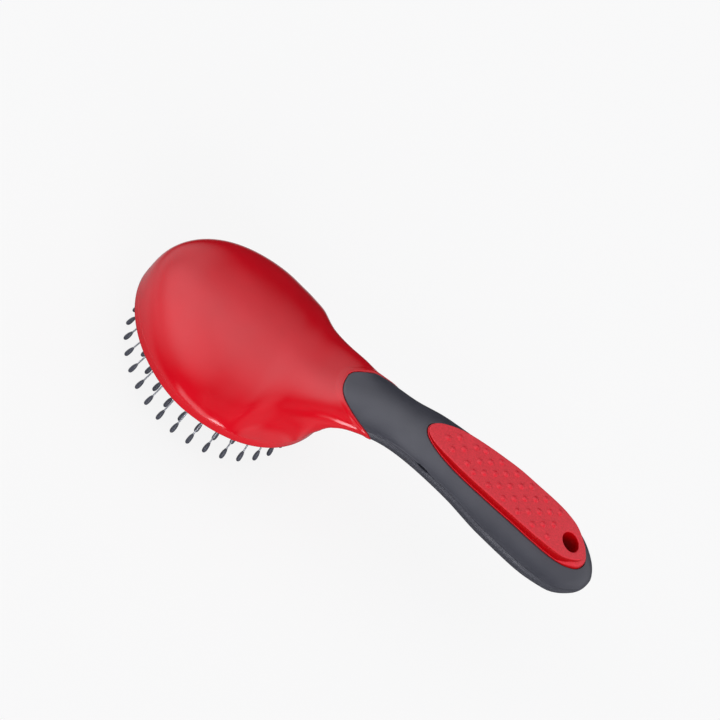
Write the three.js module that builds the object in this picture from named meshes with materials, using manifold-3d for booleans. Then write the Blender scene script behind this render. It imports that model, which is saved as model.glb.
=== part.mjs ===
// Oval pin brush for grooming: a red moulded back with a neck and a grip core, a front frame that holds
// an air cushion with wire pins, a two-piece soft grip and a pimpled thumb insert with a hanging hole.
// Millimetres. +X runs from the head to the tail, +Y across, +Z out of the back; the pins point to -Z.
// While it is built, x = 0 is the middle of the pad and z = 0 is the lower face of the frame. At the end
// everything moves so that the pin tips stand on z = 0 and the middle of the length is at x = 0.
import * as THREE from 'three';
import { mergeVertices } from 'three/addons/utils/BufferGeometryUtils.js';
import Module from 'manifold-3d';

const wasm = await Module();
wasm.setup();
const { Manifold, Mesh } = wasm;

// ---- clearances ----
const GAP = 0.3;               // between pieces that touch
const PRESS_ROOM = 0.4;        // round the pin bed, so that it can sink in

// ---- head outline, an oval with its own ends ----
const PAD_FRONT = 48.6;        // middle to the front end
const PAD_REAR = 49.1;         // middle to the rear end
const PAD_HALF = 45.2;         // half the width
const FRONT_POWER = 1.8;       // fullness of the front end
const REAR_POWER = 2.2;        // fullness of the rear end

// ---- front frame ----
const FRAME_HEIGHT = 4.5;      // lower face to the shell's edge
const FRAME_LIP = 5.0;         // width of the lip seen from below
const LIP_HEIGHT = 1.6;        // thickness of the lip under the cushion's bead
const FRAME_SIDE = 2.6;        // wall outside the bead

// ---- back shell ----
const SHELL_WALL = 2.8;
const HEEL_WALL = 5.6;         // between the hollow of the head and its rear end
const CORE_BACK = 3.3;         // core's end to the collar of the hanging hole
const DOME_CUT = 4.4;          // the head's dome is cut off this far above its widest line, in front
const FLARE_CUT = 11.0;        // the same at the flare behind
const SKIRT_LEAST = 0.4;       // lower edge to the foot of the dome where the dome stands on the rim
const NOSE_POWER = 4.1;        // roundness of the dome at the front end

// ---- grip, insert and hanging hole ----
const TAIL_END = 176.9;        // middle of the pad to the tail
const TAIL_ROUND = 14.1;       // length of the tail's rounding
const GRIP_WALL = 3.4;         // soft grip over the core
const TONGUE_AHEAD = 5.8;      // front of the grip's tongue before the rear end of the pad
const TONGUE_LENGTH = 12.0;
const TONGUE_HALF = 15.5;
const TONGUE_RAKE = 2.1;       // how far the edge runs back for each mm down
const TONGUE_TOP = 31.0;       // height at which the tongue is drawn
const SEAM_RISE = 1.8;         // seam above the widest line of the grip
const NOTCH_BEHIND = 40.6;     // rear end of the pad to the slot in the seam, on both sides
const NOTCH_LENGTH = 6.4;
const NOTCH_HEIGHT = 0.8;
const NOTCH_DEPTH = 1.4;
const INSERT_LENGTH = 87.3;
const INSERT_BACK = 7.6;       // tail to the rear end of the insert
const INSERT_THICK = 3.8;
const INSERT_RISE = 1.5;       // insert above the grip
const INSERT_TIP_RISE = 0.7;   // the same at its tip
const INSERT_END_RISE = 2.5;   // the same at its rear end
const INSERT_FALL = 0.9;       // its long edges below its middle, where it is widest
const INSERT_EDGE = 0.6;       // chamfer round its top
const HOLE_BACK = 18.4;        // tail to the hanging hole
const HOLE_RADIUS = 4.35;
const COLLAR_WALL = 1.5;       // red collar that lines the hole
const COLLAR_PROUD = 0.2;      // collar below the grip
const PIMPLE_START = 9.0;      // tip of the insert to the first pimple
const PIMPLE_STOP = 10.3;      // last row of pimples to the middle of the hanging hole
const PIMPLE_EDGE = 3.9;       // outer pimples to the edge of the insert
const PIMPLE_RADIUS = 1.3;
const PIMPLE_HEIGHT = 0.75;

// ---- cushion and pins ----
const CUSHION_CROWN = 3.0;     // bulge below the frame
const CUSHION_CURVE = 240.0;   // radius of the dome
const CUSHION_WALL = 2.0;
const VENT_RADIUS = 1.5;       // breathing hole in the middle
const BED_THICK = 1.2;         // outer layer that the pins are set in
const CUSHION_BORDER = 3.4;    // cushion seen between the frame's lip and the pin bed
const PIN_LENGTH = 23.6;
const WIRE_RADIUS = 0.36;
const TIP_LENGTH = 6.5;
const TIP_RADIUS = 1.05;
const TIP_CUT = 0.5;           // the lowest tips are cut flat by this
const RING_EDGE = 1.4;         // edge of the bed to the outer ring of pins
const RING_PITCH = 7.9;        // from ring to ring
const PIN_PITCH = 7.25;        // along a ring
const BED_CUT = 19.5;          // the bed is cut across near plus and minus this

// ---- where things lie along the length ----
const HOLE_X = TAIL_END - HOLE_BACK;
const COLLAR_RADIUS = HOLE_RADIUS + COLLAR_WALL;
const CORE_END = HOLE_X - COLLAR_RADIUS - GAP - CORE_BACK;
const INSERT_END = TAIL_END - INSERT_BACK;
const INSERT_TIP = INSERT_END - INSERT_LENGTH;
const TONGUE_TIP = PAD_REAR - TONGUE_AHEAD;
const NOTCH_X = PAD_REAR + NOTCH_BEHIND;
const EDGE_HEIGHT = FRAME_HEIGHT + GAP;          // lower edge of the shell
const BED_INSET = FRAME_LIP + CUSHION_BORDER;
const RING_INSET = BED_INSET + RING_EDGE;

// ---- long sections: place along the length, size ----
// onFront and onRear: shares of the head's halves; onHandle: shares from the pad to the tail
const onFront = (rows) => rows.map(([t, v]) => [-t * PAD_FRONT, v]);
const onRear = (rows) => rows.map(([t, v]) => [t * PAD_REAR, v]);
const onHandle = (rows) => rows.map(([t, v]) => [PAD_REAR + t * (TAIL_END - PAD_REAR), v]);
const DOME_WAIST = EDGE_HEIGHT + SKIRT_LEAST - DOME_CUT;
const RIDGE_WIDTH = [
  ...onRear([[-0.165, PAD_HALF], [0, PAD_HALF], [0.165, PAD_HALF - 1], [0.296, PAD_HALF - 2.8]]),
  ...onRear([[0.593, PAD_HALF - 16.2], [0.889, 20.6]]),
  ...onHandle([[0.07, 16.1], [0.183, 14.3], [0.295, 15.9], [0.445, 17.7], [0.595, 20.3], [0.745, 20.7]]),
  ...onHandle([[0.88, 17.6], [0.97, 9.5]]),
];
const RIDGE_HEIGHT = [
  ...onFront([[1, DOME_WAIST]]),
  ...onRear([[0, DOME_WAIST], [0.296, DOME_WAIST], [0.593, 3], [0.889, 13]]),
  ...onHandle([[0.07, 23.6], [0.183, 27.9], [0.295, 30.2], [0.445, 30.3], [0.595, 29.1], [0.745, 27.7]]),
  ...onHandle([[0.88, 25.8], [1, 24.6]]),
];
const CROWN = [
  ...onFront([[1, 28.2], [0.5, 29]]), ...onRear([[0, 29], [0.494, 28.3], [0.988, 32.4]]),
  ...onHandle([[0.183, 36.1], [0.375, 38.5], [0.563, 38.9], [0.745, 37.3], [0.895, 34.1], [1, 31.4]]),
];
const BELLY = [
  ...[[0, EDGE_HEIGHT], [1.9, 12.4], [4.4, 15.6], [9, 16.8]].map(([d, v]) => [PAD_REAR + d, v]),
  ...onHandle([[0.183, 20], [0.336, 22.6], [0.523, 20.5], [0.745, 17.2], [0.895, 16.3], [1, 18.9]]),
];
const UPPER_POWER = [
  ...onFront([[1, 2.7]]), ...onRear([[0, 2], [0.296, 1.9], [0.593, 2.55], [0.889, 2.9]]),
  ...onHandle([[0.07, 2], [0.183, 1.9]]),
];
// widest line to the foot of the dome
const DOME_FOOT = onRear([
  [-0.2, DOME_CUT], [0, DOME_CUT], [0.296, (DOME_CUT + FLARE_CUT) / 2], [0.45, FLARE_CUT], [0.6, FLARE_CUT],
  [0.889, 4.5], [1.06, 0],
]);
// half the insert's width at shares of its length
const INSERT_HALF = [
  [0.029, 4.6], [0.072, 6.7], [0.137, 8.6], [0.227, 10.1], [0.359, 11.5], [0.512, 12.4], [0.667, 12.6],
  [0.767, 12.2], [0.813, 11.5], [0.855, 10.5], [0.885, 9.6], [0.919, 8.2], [0.945, 6.8], [0.974, 4.7],
];
const INSERT_WIDEST = Math.max(...INSERT_HALF.map(([, w]) => w));

// ---- curves and outlines ----
function curve(rows) {
  // monotone cubic through the rows, held flat past both ends
  const n = rows.length;
  const slope = rows.slice(1).map((r, i) => (r[1] - rows[i][1]) / (r[0] - rows[i][0]));
  const tangent = rows.map((r, i) => {
    if (i === 0) return slope[0];
    if (i === n - 1) return slope[n - 2];
    const a = slope[i - 1], b = slope[i];
    return a * b <= 0 ? 0 : 2 * a * b / (a + b);
  });
  return (x) => {
    if (x <= rows[0][0]) return rows[0][1];
    if (x >= rows[n - 1][0]) return rows[n - 1][1];
    const i = rows.findIndex((r) => r[0] > x) - 1;
    const h = rows[i + 1][0] - rows[i][0], t = (x - rows[i][0]) / h;
    const u = t * t * (3 - 2 * t);
    return rows[i][1] * (1 - u) + rows[i + 1][1] * u
      + h * (t * (1 - t) * (1 - t) * tangent[i] - t * t * (1 - t) * tangent[i + 1]);
  };
}
const ridgeHeight = curve(RIDGE_HEIGHT);
const crown = curve(CROWN);
const belly = curve(BELLY);
const upperPower = curve(UPPER_POWER);
const domeFoot = curve(DOME_FOOT);
const ridgeSquare = curve([...RIDGE_WIDTH.map(([x, w]) => [x, w * w]), [TAIL_END, 0]]);
const insertAt = (share) => INSERT_TIP + share * (INSERT_END - INSERT_TIP);
const insertSquare = curve([
  [INSERT_TIP, 0], ...INSERT_HALF.map(([t, w]) => [insertAt(t), w * w]), [INSERT_END, 0],
]);
const insertHalf = (x) => Math.sqrt(Math.max(0, insertSquare(x)));
const smooth = (a, b, x) => {
  const t = Math.min(1, Math.max(0, (x - a) / (b - a)));
  return t * t * (3 - 2 * t);
};
const insertTop = (x) => crown(x) + INSERT_TIP_RISE
  + (INSERT_RISE - INSERT_TIP_RISE) * smooth(INSERT_TIP, insertAt(0.2), x)
  + (INSERT_END_RISE - INSERT_RISE) * smooth(insertAt(0.55), insertAt(0.9), x);
const insertHeight = (x, y) => insertTop(x) - INSERT_FALL * (y / INSERT_WIDEST) ** 2;
const rounded = (t, p) => Math.pow(Math.max(0, 1 - Math.pow(Math.min(1, Math.abs(t)), p)), 1 / p);

function ovalHalf(x, inset = 0) {
  const end = (x < 0 ? PAD_FRONT : PAD_REAR) - inset;
  return (PAD_HALF - inset) * rounded(x / end, x < 0 ? FRONT_POWER : REAR_POWER);
}

function ovalPoints(inset, count) {
  // points at equal steps round the oval, the first on +X
  const fine = [];
  for (let i = 0; i <= 1440; i++) {
    const a = i * Math.PI / 720, c = Math.cos(a), s = Math.sin(a);
    const p = c < 0 ? FRONT_POWER : REAR_POWER, end = (c < 0 ? PAD_FRONT : PAD_REAR) - inset;
    fine.push([end * Math.sign(c) * Math.pow(Math.abs(c), 2 / p),
      (PAD_HALF - inset) * Math.sign(s) * Math.pow(Math.abs(s), 2 / p)]);
  }
  const run = [0];
  for (let i = 1; i < fine.length; i++) {
    run.push(run[i - 1] + Math.hypot(fine[i][0] - fine[i - 1][0], fine[i][1] - fine[i - 1][1]));
  }
  const points = [];
  for (let k = 0; k < count; k++) {
    const goal = run[run.length - 1] * k / count;
    const i = Math.max(1, run.findIndex((r) => r >= goal));
    const t = (goal - run[i - 1]) / (run[i] - run[i - 1]);
    points.push([0, 1].map((c) => fine[i - 1][c] + t * (fine[i][c] - fine[i - 1][c])));
  }
  return points;
}

// ---- closed meshes ----
function loft(rings) {
  // closed skin over rings with the same number of points, each end closed with a fan
  const n = rings[0].length, points = rings.flat(), faces = [];
  const mean = (ring) => [0, 1, 2].map((k) => ring.reduce((s, p) => s + p[k], 0) / ring.length);
  for (let i = 0; i + 1 < rings.length; i++) {
    for (let j = 0; j < n; j++) {
      const a = i * n + j, b = i * n + (j + 1) % n;
      faces.push([a, b, b + n], [a, b + n, a + n]);
    }
  }
  const first = points.length, last = first + 1, end = (rings.length - 1) * n;
  points.push(mean(rings[0]), mean(rings[rings.length - 1]));
  for (let j = 0; j < n; j++) {
    faces.push([first, (j + 1) % n, j], [last, end + j, end + (j + 1) % n]);
  }
  return closed(points, faces);
}

function closed(points, faces) {
  // geometry with its faces turned outwards
  let volume = 0;
  for (const [a, b, c] of faces) {
    const [p, q, r] = [points[a], points[b], points[c]];
    volume += p[0] * (q[1] * r[2] - q[2] * r[1]) - p[1] * (q[0] * r[2] - q[2] * r[0])
      + p[2] * (q[0] * r[1] - q[1] * r[0]);
  }
  const geometry = new THREE.BufferGeometry();
  geometry.setAttribute('position', new THREE.Float32BufferAttribute(points.flat(), 3));
  geometry.setIndex((volume < 0 ? faces.map(([a, b, c]) => [a, c, b]) : faces).flat());
  return geometry;
}

function solid(geometry) {
  const bare = new THREE.BufferGeometry();
  bare.setAttribute('position', geometry.getAttribute('position'));
  if (geometry.index) bare.setIndex(geometry.index);
  const merged = mergeVertices(bare, 1e-5);
  const mesh = new Mesh({
    numProp: 3,
    vertProperties: new Float32Array(merged.getAttribute('position').array),
    triVerts: new Uint32Array(merged.index.array),
  });
  mesh.merge();
  return new Manifold(mesh);
}

function prism(outline, z0, z1, shift0 = 0, shift1 = 0) {
  // upright prism on an outline of [x, y]; each end may be moved along X
  return loft([outline.map(([x, y]) => [x + shift0, y, z0]), outline.map(([x, y]) => [x + shift1, y, z1])]);
}

function box(x0, x1, y0, y1, z0, z1) {
  return solid(prism([[x0, y0], [x1, y0], [x1, y1], [x0, y1]], z0, z1));
}

function round(x, radius, z0, z1, sides) {
  const outline = [];
  for (let i = 0; i < sides; i++) {
    const a = (i + 0.5) * 2 * Math.PI / sides;
    const reach = radius / Math.cos(Math.PI / sides);          // flats lie on the radius
    outline.push([x + reach * Math.cos(a), reach * Math.sin(a)]);
  }
  return solid(prism(outline, z0, z1));
}

// ---- the outer skin of the back, neck and grip as one row of sections ----
// The head's dome is cut off above its widest line, on the rim in front and on a flare behind; the
// handle is closed round below.
const ARC = 24;        // steps over the top
const SKIRT = 4;       // steps from the dome's foot to the lower edge
const FLARE = 0.75;    // share of the flare's height over which it keeps the dome's lean
function section(x, inset, bottom) {
  const ridge = Math.sqrt(Math.max(0, ridgeSquare(x)));
  const rim = x < PAD_REAR - inset ? ovalHalf(x, inset) : 0;
  const nose = x < 0 ? rounded(x / (PAD_FRONT - inset), NOSE_POWER) : 1;
  const tail = rounded(Math.max(0, x - (TAIL_END - TAIL_ROUND)) / (TAIL_ROUND + 0.15), 2.4);
  const waist = ridgeHeight(x), power = upperPower(x);
  const foot = waist + domeFoot(x);
  const top = Math.max(waist + Math.max(0.3, (crown(x) - inset - waist) * nose * tail), foot + 0.3);
  const start = Math.asin(Math.pow((foot - waist) / (top - waist), power / 2));
  const side = Math.max(0.4, (x < 0 ? ovalHalf(x) : ridge) - inset);
  const width = side / Math.pow(Math.cos(start), 2 / power);
  const head = 1 - smooth(PAD_REAR - 1.6, PAD_REAR + 8, x);
  const low = x < PAD_REAR ? EDGE_HEIGHT : waist - Math.max(0.3, (waist - belly(x) - inset) * tail);
  const edge = x < PAD_REAR - inset ? bottom : low;
  const ring = [];
  for (let i = 0; i <= ARC; i++) {
    const a = start + (Math.PI - 2 * start) * i / ARC, c = Math.cos(a), s = Math.abs(Math.sin(a));
    ring.push([x, width * Math.sign(c) * Math.pow(Math.abs(c), 2 / power),
      waist + (top - waist) * Math.pow(s, 2 / power)]);
  }
  const lean = width / (top - waist) * Math.pow(Math.tan(start), 2 - 2 / power);
  const drop = FLARE * (foot - edge), reach = Math.min(lean * drop, Math.max(0, rim - side));
  const skirt = [];
  for (let j = 1; j <= SKIRT; j++) {
    const t = j / SKIRT, u = 1 - t, a = t * Math.PI / 2;
    const flared = [u * u * side + 2 * u * t * (side + reach) + t * t * rim,
      u * u * foot + 2 * u * t * (foot - drop) + t * t * edge];
    const curved = [side * Math.cos(a), foot - (foot - edge) * Math.sin(a)];
    skirt.push([0, 1].map((k) => flared[k] * head + curved[k] * (1 - head)));
  }
  const low0 = skirt[SKIRT - 1];
  if (low0[0] < 0.25) low0[0] = 0.25;
  for (const [y, z] of skirt) ring.push([x, -y, z]);
  ring.push([x, 0, low0[1]]);
  for (const [y, z] of skirt.slice().reverse()) ring.push([x, y, z]);
  return ring;
}

function stations(from, to, step) {
  const all = [];
  for (let i = 0, n = Math.ceil((to - from) / step); i <= n; i++) all.push(from + (to - from) * i / n);
  return all;
}

const noseStations = (inset, steps) => steps.map((d) => d + inset - PAD_FRONT);
const skinStations = [...noseStations(0, [0.1, 0.6, 1.8, 3.8, 6.8, 11, 16.5, 23, 30, 36.5, 42]),
  ...stations(0, PAD_REAR - 6.6, 6),
  ...[-4.6, -2.8, -1.4, -0.4, 0.3, 1.3, 2.6, 4.4, 7].map((d) => PAD_REAR + d),
  ...stations(PAD_REAR + 10, TAIL_END - TAIL_ROUND - 3, 7),
  ...[1, 0.79, 0.61, 0.46, 0.33, 0.21, 0.12, 0.057, 0.021, 0.007].map((t) => TAIL_END - t * TAIL_ROUND)];
const skin = solid(loft(skinStations.map((x) => section(x, 0, EDGE_HEIGHT))));
const hollowStations = [...noseStations(SHELL_WALL, [0.1, 1, 3, 6.5, 12, 20, 30, 40]),
  ...stations(0, PAD_REAR - HEEL_WALL, 8)];
const hollow = solid(loft(hollowStations.map((x) => section(x, SHELL_WALL, EDGE_HEIGHT - 1))));

// ---- grip: everything behind a raked tongue, over the core ----
function tongue(grow) {
  const outline = [];
  for (let i = 0; i <= 24; i++) {
    const a = Math.PI / 2 + Math.PI * i / 24;
    outline.push([TONGUE_TIP + TONGUE_LENGTH + (TONGUE_LENGTH + grow) * Math.cos(a),
      (TONGUE_HALF + grow) * Math.sin(a)]);
  }
  const foot = TONGUE_TIP + TONGUE_LENGTH + 1.5, far = 2 * TAIL_END;
  outline.push([foot, -PAD_HALF], [far, -PAD_HALF], [far, PAD_HALF], [foot, PAD_HALF]);
  const low = -10, high = 60;
  const shift = (z) => TONGUE_RAKE * (TONGUE_TOP - z) - grow;
  return solid(prism(outline, low, high, shift(low), shift(high)));
}
function core(inset, end) {
  // the skin's sections drawn in by the grip's wall
  return solid(loft([PAD_REAR - 8, ...stations(PAD_REAR + 2, CORE_END + end, 7)].map((x) => {
    const waist = ridgeHeight(x), width = Math.sqrt(ridgeSquare(x)) - inset;
    const top = crown(x) - inset, low = Math.max(belly(x), belly(PAD_REAR + 6)) + inset;
    const power = upperPower(x), ring = [];
    for (let i = 0; i < 20; i++) {
      const a = 2 * Math.PI * i / 20, c = Math.cos(a), s = Math.sin(a), p = s > 0 ? power : 2;
      ring.push([x, width * Math.sign(c) * Math.pow(Math.abs(c), 2 / p),
        waist + (s > 0 ? top - waist : waist - low) * Math.sign(s) * Math.pow(Math.abs(s), 2 / p)]);
    }
    return ring;
  })));
}
const shell = skin.subtract(tongue(GAP)).add(core(GRIP_WALL, 0)).subtract(hollow);

function insertPlate(grow, thick, rise) {
  const xs = [...[0.15, 0.8, 2.2, 4.5, 8, 12.5].map((d) => INSERT_TIP + d),
    ...stations(INSERT_TIP + 18, INSERT_END - 22, 8),
    ...[19, 16, 13, 10, 7.4, 5, 3, 1.6, 0.7, 0.15].map((d) => INSERT_END - d)];
  return solid(loft(xs.map((x, i) => {
    const w = insertHalf(x) + grow, z = insertTop(x), c = Math.min(INSERT_EDGE, w * 0.4);
    const along = i === 0 ? x - grow : i === xs.length - 1 ? x + grow : x;
    const top = (y) => insertHeight(x, y) + rise;
    const half = [[0, top(0)], [w / 2, top(w / 2)], [w - c, top(w - c)], [w, top(w) - c], [w, z - thick]];
    return [...half, ...half.slice(1).reverse().map(([y, h]) => [-y, h])].map(([y, h]) => [along, y, h]);
  })));
}
const seat = insertPlate(GAP, INSERT_THICK + GAP, 20);
let grip = skin.intersect(tongue(0)).subtract(core(GRIP_WALL - GAP, GAP)).subtract(seat)
  .subtract(round(HOLE_X, COLLAR_RADIUS + GAP, 0, 60, 24));
for (const side of [-1, 1]) {
  const face = Math.sqrt(ridgeSquare(NOTCH_X)), z = ridgeHeight(NOTCH_X) + SEAM_RISE;
  grip = grip.subtract(box(NOTCH_X - NOTCH_LENGTH / 2, NOTCH_X + NOTCH_LENGTH / 2,
    side * face - NOTCH_DEPTH, side * face + NOTCH_DEPTH, z - NOTCH_HEIGHT / 2, z + NOTCH_HEIGHT / 2));
}
function belowSeam(lift) {
  return solid(loft(stations(TONGUE_TIP - 5, TAIL_END + 5, 9).map((x) => {
    const z = ridgeHeight(x) + SEAM_RISE + lift;
    return [[x, -PAD_HALF, -5], [x, PAD_HALF, -5], [x, PAD_HALF, z], [x, -PAD_HALF, z]];
  })));
}
const gripLower = grip.intersect(belowSeam(-GAP / 2));
const gripUpper = grip.subtract(belowSeam(GAP / 2));

// ---- thumb insert: plate, collar through the grip, pimples, hanging hole ----
const bellyAtHole = belly(HOLE_X);
let insert = insertPlate(0, INSERT_THICK, 0)
  .add(round(HOLE_X, COLLAR_RADIUS, bellyAtHole - COLLAR_PROUD, insertTop(HOLE_X) - 1, 24));
const pimples = [];
const pimplePitch = (HOLE_X - PIMPLE_STOP - INSERT_TIP - PIMPLE_START) / 7;
for (let k = 0; k <= 7; k += 0.5) {
  // from the tip 1, 2, 1 and 2 pimples, then rows of three with pairs between them
  const x = INSERT_TIP + PIMPLE_START + pimplePitch * k, wide = insertHalf(x) - PIMPLE_EDGE;
  const pair = k < 2 ? wide * 0.82 : wide / 2;
  for (const y of k % 1 ? [-pair, pair] : k < 2 ? [0] : [-wide, 0, wide]) {
    const profile = [[0, -PIMPLE_HEIGHT], [PIMPLE_RADIUS, -PIMPLE_HEIGHT],
      [PIMPLE_RADIUS * 0.72, PIMPLE_HEIGHT * 0.68], [0, PIMPLE_HEIGHT]];
    const dome = new THREE.LatheGeometry(profile.map((p) => new THREE.Vector2(...p)), 7);
    dome.rotateX(Math.PI / 2).translate(x, y, insertHeight(x, y));
    pimples.push(solid(dome));
  }
}
insert = Manifold.union([insert, ...pimples]).subtract(round(HOLE_X, HOLE_RADIUS, 0, 60, 20));

// ---- front frame: side wall outside the bead, lip under it ----
const ovalSolid = (inset, z0, z1, count = 72) => solid(prism(ovalPoints(inset, count), z0, z1));
const frame = ovalSolid(0, 0, FRAME_HEIGHT)
  .subtract(ovalSolid(FRAME_SIDE, LIP_HEIGHT, FRAME_HEIGHT + 1))
  .subtract(ovalSolid(FRAME_LIP, -1, FRAME_HEIGHT));

// ---- cushion: a bead, a drawn-in side and a domed membrane with a breathing hole ----
const domeHeight = (x, y) => (x * x + y * y) / (2 * CUSHION_CURVE) - CUSHION_CROWN;
const beadSide = FRAME_SIDE + GAP, beadFoot = LIP_HEIGHT + GAP, beadTop = FRAME_HEIGHT;
const throat = FRAME_LIP + GAP, behind = BED_THICK + GAP, bedEdge = BED_INSET - PRESS_ROOM;
const bedMiddle = PAD_HALF - 5;
const bedSteps = (from) => [0, 0.3, 0.62, 1].map((t) => from + (bedMiddle - from) * t);
// rings from the middle of the outer face over the bead to the middle of the inner face:
// distance in from the outline, then a height, or null and a lift over the dome
const outerFace = bedSteps(bedEdge + 0.15).reverse().map((inset) => [inset, null, behind]);
const innerFace = bedSteps(bedEdge + 1).map((inset) => [inset, null, behind + CUSHION_WALL]);
const sideAndBead = [
  [bedEdge, null, 0], [throat + 1.6, null, 0], [throat + 0.5, null, 0.35], [throat, null, 1],
  [throat, beadFoot], [beadSide, beadFoot], [beadSide, beadTop], [throat + 0.6, beadTop],
];
const cushionRings = [...outerFace, ...sideAndBead, ...innerFace].map(([inset, z, lift]) => ovalPoints(inset, 40)
  .map(([x, y]) => [x, y, z === null ? domeHeight(x, y) + lift : z]));
const vent = round(0, VENT_RADIUS, -10, 20, 10);
const cushion = solid(loft(cushionRings)).subtract(vent);

// ---- pins: a wire and a drop-shaped tip, square to the dome, set in the outer layer of the cushion ----
function pin(x, y) {
  const base = new THREE.Vector3(x, y, domeHeight(x, y));
  const away = new THREE.Vector3(x / CUSHION_CURVE, y / CUSHION_CURVE, -1).normalize();
  const side = new THREE.Vector3(1, 0, 0).cross(away).normalize();
  const other = away.clone().cross(side);
  const tip = PIN_LENGTH - TIP_LENGTH;
  const rings = [[-BED_THICK / 2, WIRE_RADIUS], [tip, WIRE_RADIUS],
    [tip + TIP_LENGTH * 0.42, TIP_RADIUS * 0.86], [tip + TIP_LENGTH * 0.76, TIP_RADIUS],
    [PIN_LENGTH, TIP_RADIUS * 0.3]]
    .map(([d, r]) => [0, 1, 2, 3].map((k) => base.clone().addScaledVector(away, d)
      .addScaledVector(side, r * Math.cos((k + 0.5) * Math.PI / 2))
      .addScaledVector(other, r * Math.sin((k + 0.5) * Math.PI / 2)).toArray()));
  return solid(loft(rings));
}
const bedSkin = (lift) => bedSteps(BED_INSET)
  .map((inset) => ovalPoints(inset, 40).map(([x, y]) => [x, y, domeHeight(x, y) + lift]));
const bed = solid(loft([...bedSkin(0).reverse(), ...bedSkin(BED_THICK)])).subtract(vent);
const pins = [];
for (let inset = RING_INSET; inset < PAD_HALF - 2.5; inset += RING_PITCH) {
  // each ring has as many pins as fit, a multiple of four
  const round4 = (length) => 4 * Math.max(1, Math.round(length / PIN_PITCH / 4));
  const ring = ovalPoints(inset, 90);
  const step = (p, q) => Math.hypot(p[0] - q[0], p[1] - q[1]);
  const length = ring.reduce((sum, p, i) => sum + step(p, ring[(i + 1) % 90]), 0);
  pins.push(...ovalPoints(inset, round4(length)));
}
function cutNear(x) {
  // the place near x that lies furthest from every pin
  const room = (c) => Math.min(...pins.map((p) => Math.abs(p[0] - c)));
  let best = x;
  for (let d = -4; d <= 4; d += 0.1) if (room(x + d) > room(best) + 1e-6) best = x + d;
  return best;
}
const frontCut = cutNear(-BED_CUT), rearCut = cutNear(BED_CUT);
const tipLevel = Math.min(...pins.map(([x, y]) => domeHeight(x, y)
  - PIN_LENGTH / Math.hypot(1, Math.hypot(x, y) / CUSHION_CURVE))) + TIP_CUT;
const slices = [[-PAD_FRONT, frontCut], [frontCut, rearCut], [rearCut, PAD_REAR]];
const fields = slices.map(([from, to]) => Manifold.union([
  bed.intersect(box(from + GAP / 2, to - GAP / 2, -PAD_HALF, PAD_HALF, -20, 20)),
  ...pins.filter(([x]) => x > from && x < to).map(([x, y]) => pin(x, y)),
]).subtract(box(-PAD_FRONT, PAD_REAR, -PAD_HALF, PAD_HALF, tipLevel - 5, tipLevel)));

// ---- named pieces, moved to stand on the pin tips with the middle of the length at x = 0 ----
const group = new THREE.Group();
const middleX = (skinStations[skinStations.length - 1] - PAD_FRONT) / 2;
function piece(name, body, color, roughness) {
  const mesh = body.getMesh(), geometry = new THREE.BufferGeometry();
  geometry.setAttribute('position', new THREE.Float32BufferAttribute(mesh.vertProperties, 3));
  geometry.setIndex(Array.from(mesh.triVerts));
  geometry.translate(-middleX, 0, -tipLevel);
  geometry.computeVertexNormals();
  const part = new THREE.Mesh(geometry, new THREE.MeshStandardMaterial({ color, roughness }));
  part.name = name;
  group.add(part);
}
piece('back_shell', shell, 0xc8102a, 0.3);
piece('front_frame', frame, 0xc8102a, 0.3);
piece('air_cushion', cushion, 0x1c1c1e, 0.7);
piece('pin_field_front', fields[0], 0x8a8c92, 0.4);
piece('pin_field_middle', fields[1], 0x8a8c92, 0.4);
piece('pin_field_rear', fields[2], 0x8a8c92, 0.4);
piece('grip_upper', gripUpper, 0x4a4b52, 0.8);
piece('grip_lower', gripLower, 0x4a4b52, 0.8);
piece('thumb_insert', insert, 0xc02c3c, 0.6);

export default group;
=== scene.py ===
# Oval pin brush: red glossy back, dark soft grip, pimpled red thumb insert, wire pins in a rubber cushion.
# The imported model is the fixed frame. Shapes are worked out in millimetres from the middle of the pad
# (x = 0) and the lower face of the frame (z = 0), as in the part's source, and placed in metres.
import math

import bpy
from mathutils import Matrix, Vector


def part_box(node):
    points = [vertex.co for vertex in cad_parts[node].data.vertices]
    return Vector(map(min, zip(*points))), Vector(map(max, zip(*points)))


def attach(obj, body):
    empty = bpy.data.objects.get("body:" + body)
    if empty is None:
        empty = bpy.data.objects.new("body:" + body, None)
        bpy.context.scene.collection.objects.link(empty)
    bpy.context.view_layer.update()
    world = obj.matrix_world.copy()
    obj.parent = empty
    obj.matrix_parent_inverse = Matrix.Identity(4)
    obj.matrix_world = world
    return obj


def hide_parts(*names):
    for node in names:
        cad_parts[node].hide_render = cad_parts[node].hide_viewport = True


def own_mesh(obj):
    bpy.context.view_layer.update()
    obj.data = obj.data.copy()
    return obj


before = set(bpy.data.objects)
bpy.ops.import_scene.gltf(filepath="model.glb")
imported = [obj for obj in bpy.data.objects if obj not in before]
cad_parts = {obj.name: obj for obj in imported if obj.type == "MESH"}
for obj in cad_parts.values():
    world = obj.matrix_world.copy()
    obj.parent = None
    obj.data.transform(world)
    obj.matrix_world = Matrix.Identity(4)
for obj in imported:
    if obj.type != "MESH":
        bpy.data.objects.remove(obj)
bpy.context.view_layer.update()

# ---- studio ------------------------------------------------------------------------------------
# The photo's camera stands above and to the side of the brush, with a long lens. Two soft suns and an
# even pale room light the brush over white paper. Gloss mirrors a pattern of its own: soft panels, a
# pale table with a painted shadow of the brush straight below it, and the table's bright edge.
PIXELS = 720
FOCAL_PIXELS = 2310.94
SENSOR_MM = 36.0
CAMERA_RIGHT = (0.7720292, 0.4088406, 0.4866419)
CAMERA_DOWN = (0.6304795, -0.5894878, -0.5049751)
CAMERA_AHEAD = (0.0804152, 0.6966731, -0.7128674)
CAMERA_MM = (-33.95, -659.82, 717.02)

face_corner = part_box("front_frame")[0]
PAD_FRONT = 48.6
origin = Vector((face_corner.x + PAD_FRONT / 1000, 0.0, face_corner.z))


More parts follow.
